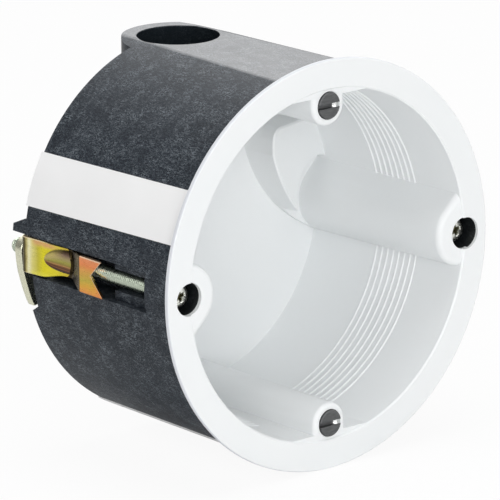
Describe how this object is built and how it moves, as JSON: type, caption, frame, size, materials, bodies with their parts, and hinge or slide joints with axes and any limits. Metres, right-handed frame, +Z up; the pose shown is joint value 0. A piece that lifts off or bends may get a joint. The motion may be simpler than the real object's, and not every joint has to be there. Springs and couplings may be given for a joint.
{
  "type": "electrical device box",
  "caption": "Round hollow-wall device box: white flanged liner in a black fire-protection jacket, with a top conduit entry, screw-driven fishtail claws and rear swing arms.",
  "frame": {"origin": "on the box axis in the plane of the wall face, at the back of the flange", "axes": "+Y along the box axis into the wall, +Z up towards the conduit entry, +X to the right seen from the front"},
  "size_m": [0.0772, 0.0534, 0.0772],
  "materials": {
    "white_moulding": "satin white moulded plastic",
    "black_jacket": "dark slate, speckled, matte, graphite-filled plastic",
    "white_film": "matte white adhesive film",
    "dark_steel": "dull dark grey finish",
    "zinc_steel": "bright zinc plated",
    "yellow_zinc": "zinc plated with yellow chromate"
  },
  "bodies": {
    "box": {"liner": "white_moulding", "jacket": "black_jacket", "strip_side": "white_film", "strip_base": "white_film"},
    "screw_left": {"claw_screw_left": "zinc_steel"},
    "claw_left": {"claw_left": "yellow_zinc"},
    "arm_left": {"swing_arm_left": "zinc_steel"},
    "screw_right": {"claw_screw_right": "zinc_steel"},
    "claw_right": {"claw_right": "yellow_zinc"},
    "arm_right": {"swing_arm_right": "zinc_steel"},
    "device_screw_top": {"device_screw_top": "dark_steel"},
    "device_screw_bottom": {"device_screw_bottom": "dark_steel"}
  },
  "joints": [
    {"name": "claw_screw_turn_left", "type": "hinge", "parent": "box", "child": "screw_left", "pos_m": [-0.0334, 0, 0], "axis": [0, 1, 0], "range_deg": [0, 7560]},
    {"name": "claw_pull_left", "type": "slide", "parent": "box", "child": "claw_left", "axis": [0, -1, 0], "range_m": [0, 0.0105]},
    {"name": "arm_swing_left", "type": "hinge", "parent": "box", "child": "arm_left", "pos_m": [-0.0334, 0.04485, 0], "axis": [0, 1, 0], "range_deg": [0, 90]},
    {"name": "claw_screw_turn_right", "type": "hinge", "parent": "box", "child": "screw_right", "pos_m": [0.0334, 0, 0], "axis": [0, 1, 0], "range_deg": [0, 7560]},
    {"name": "claw_pull_right", "type": "slide", "parent": "box", "child": "claw_right", "axis": [0, -1, 0], "range_m": [0, 0.0105]},
    {"name": "arm_swing_right", "type": "hinge", "parent": "box", "child": "arm_right", "pos_m": [0.0334, 0.04485, 0], "axis": [0, 1, 0], "range_deg": [0, 90]},
    {"name": "device_screw_turn_top", "type": "hinge", "parent": "box", "child": "device_screw_top", "pos_m": [0, 0, 0.03], "axis": [0, 1, 0], "continuous": true},
    {"name": "device_screw_turn_bottom", "type": "hinge", "parent": "box", "child": "device_screw_bottom", "pos_m": [0, 0, -0.03], "axis": [0, 1, 0], "continuous": true}
  ],
  "couplings": [
    {"joint": "claw_screw_turn_left", "follows": "claw_pull_left", "rad_per_m": 12566},
    {"joint": "claw_screw_turn_right", "follows": "claw_pull_right", "rad_per_m": 12566}
  ]
}
